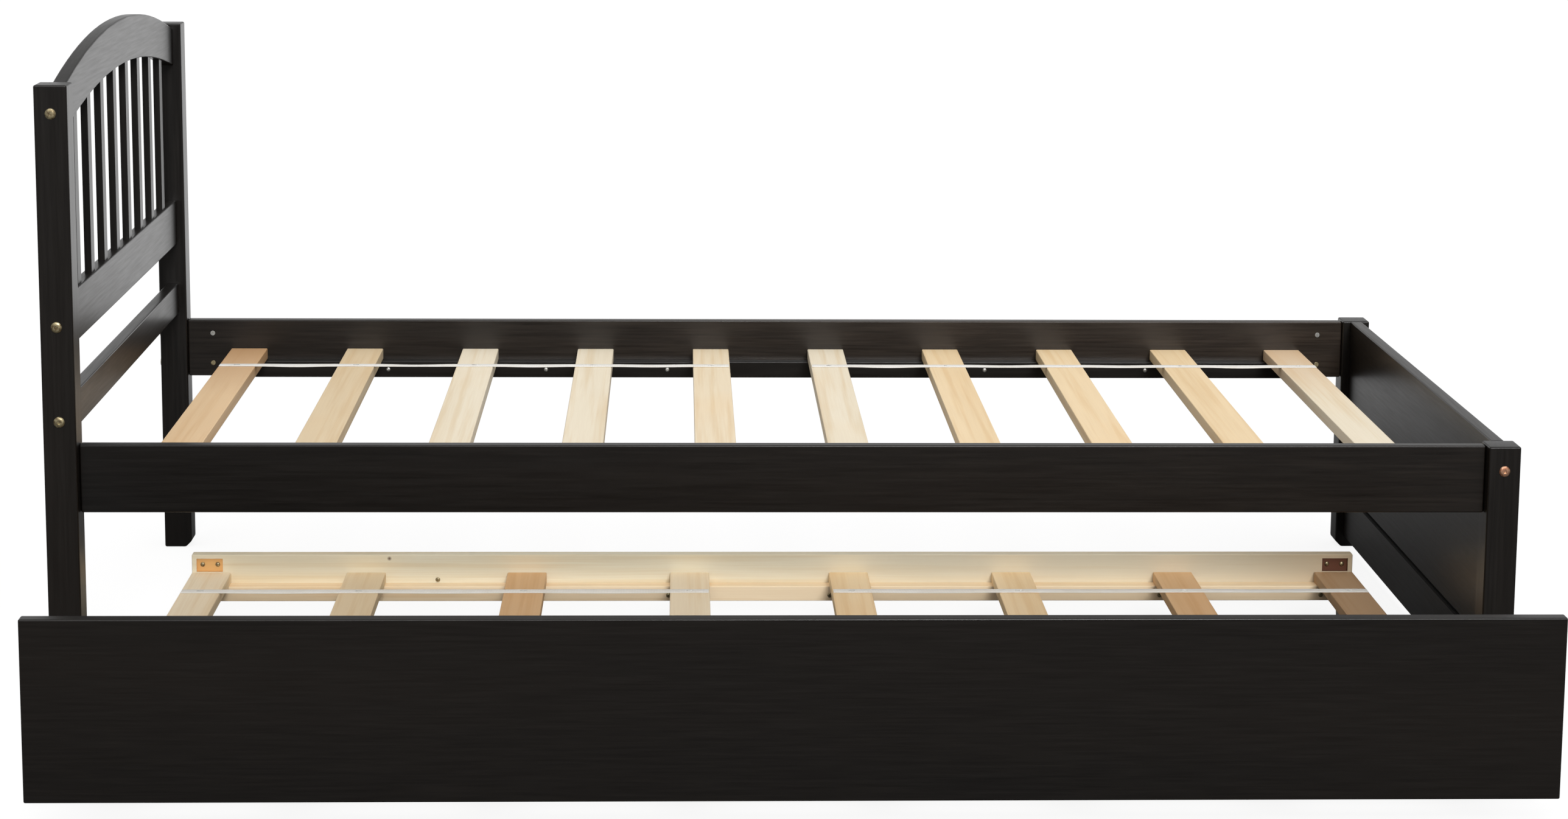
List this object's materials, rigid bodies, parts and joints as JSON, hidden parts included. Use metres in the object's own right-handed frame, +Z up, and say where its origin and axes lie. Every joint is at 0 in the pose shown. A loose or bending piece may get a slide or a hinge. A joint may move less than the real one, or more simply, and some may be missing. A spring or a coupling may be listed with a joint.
{
  "type": "trundle bed",
  "caption": "Dark wooden single bed with an arched spindle headboard and a low trundle on casters that rolls out from under its side rail.",
  "frame": {"origin": "on the floor, under the middle of the whole object with the trundle pulled out as built", "axes": "+X from the headboard to the footboard, -Y the way the trundle rolls out, +Z up"},
  "size_m": [2.03, 1.501, 0.93],
  "materials": {
    "espresso_wood": "satin espresso stain on solid wood",
    "pine_wood": "bare planed pine",
    "white_webbing": "woven white webbing",
    "zinc_steel": "zinc plated",
    "black_nylon": "moulded nylon",
    "bolt_metal": "antique brass plated",
    "nut_steel": "zinc plated"
  },
  "bodies": {
    "bed": {"head_post_front": "espresso_wood", "head_post_rear": "espresso_wood", "foot_post_front": "espresso_wood", "foot_post_rear": "espresso_wood", "headboard_arch_rail": "espresso_wood", "headboard_mid_rail": "espresso_wood", "headboard_lower_rail": "espresso_wood", "headboard_spindle_1": "espresso_wood", "headboard_spindle_2": "espresso_wood", "headboard_spindle_3": "espresso_wood", "headboard_spindle_4": "espresso_wood", "headboard_spindle_5": "espresso_wood", "headboard_spindle_6": "espresso_wood", "headboard_spindle_7": "espresso_wood", "headboard_spindle_8": "espresso_wood", "footboard_panel": "espresso_wood", "footboard_lower_rail": "espresso_wood", "side_rail_front": "espresso_wood", "side_rail_rear": "espresso_wood", "slat_ledger_front": "espresso_wood", "slat_ledger_rear": "espresso_wood", "bed_slat_01": "pine_wood", "bed_slat_02": "pine_wood", "bed_slat_03": "pine_wood", "bed_slat_04": "pine_wood", "bed_slat_05": "pine_wood", "bed_slat_06": "pine_wood", "bed_slat_07": "pine_wood", "bed_slat_08": "pine_wood", "bed_slat_09": "pine_wood", "bed_slat_10": "pine_wood", "bed_strap_head_front": "white_webbing", "bed_strap_head_rear": "white_webbing", "bed_strap_foot_front": "white_webbing", "bed_strap_foot_rear": "white_webbing"},
    "trundle": {"trundle_front_panel": "espresso_wood", "trundle_rear_board": "pine_wood", "trundle_ledger_front": "pine_wood", "trundle_ledger_rear": "pine_wood", "trundle_slat_1": "pine_wood", "trundle_slat_2": "pine_wood", "trundle_slat_3": "pine_wood", "trundle_slat_4": "pine_wood", "trundle_slat_5": "pine_wood", "trundle_slat_6": "pine_wood", "trundle_slat_7": "pine_wood", "trundle_slat_8": "pine_wood", "trundle_strap_head_front": "white_webbing", "trundle_strap_head_rear": "white_webbing", "trundle_strap_foot_front": "white_webbing", "trundle_strap_foot_rear": "white_webbing", "caster_bracket_head_front": "zinc_steel", "caster_bracket_head_rear": "zinc_steel", "caster_bracket_foot_front": "zinc_steel", "caster_bracket_foot_rear": "zinc_steel"},
    "wheel_head_front": {"caster_wheel_head_front": "black_nylon"},
    "wheel_head_rear": {"caster_wheel_head_rear": "black_nylon"},
    "wheel_foot_front": {"caster_wheel_foot_front": "black_nylon"},
    "wheel_foot_rear": {"caster_wheel_foot_rear": "black_nylon"}
  },
  "joints": [
    {"name": "trundle_slide", "type": "slide", "parent": "bed", "child": "trundle", "axis": [0, -1, 0], "range_m": [-0.446, 0.56]},
    {"name": "wheel_spin_head_front", "type": "hinge", "parent": "trundle", "child": "wheel_head_front", "pos_m": [-0.8665, -0.6255, 0.025], "axis": [1, 0, 0], "continuous": true},
    {"name": "wheel_spin_head_rear", "type": "hinge", "parent": "trundle", "child": "wheel_head_rear", "pos_m": [-0.8665, 0.1105, 0.025], "axis": [1, 0, 0], "continuous": true},
    {"name": "wheel_spin_foot_front", "type": "hinge", "parent": "trundle", "child": "wheel_foot_front", "pos_m": [0.8665, -0.6255, 0.025], "axis": [1, 0, 0], "continuous": true},
    {"name": "wheel_spin_foot_rear", "type": "hinge", "parent": "trundle", "child": "wheel_foot_rear", "pos_m": [0.8665, 0.1105, 0.025], "axis": [1, 0, 0], "continuous": true}
  ],
  "couplings": [
    {"joint": "wheel_spin_head_front", "follows": "trundle_slide", "rad_per_m": 40},
    {"joint": "wheel_spin_head_rear", "follows": "trundle_slide", "rad_per_m": 40},
    {"joint": "wheel_spin_foot_front", "follows": "trundle_slide", "rad_per_m": 40},
    {"joint": "wheel_spin_foot_rear", "follows": "trundle_slide", "rad_per_m": 40}
  ]
}
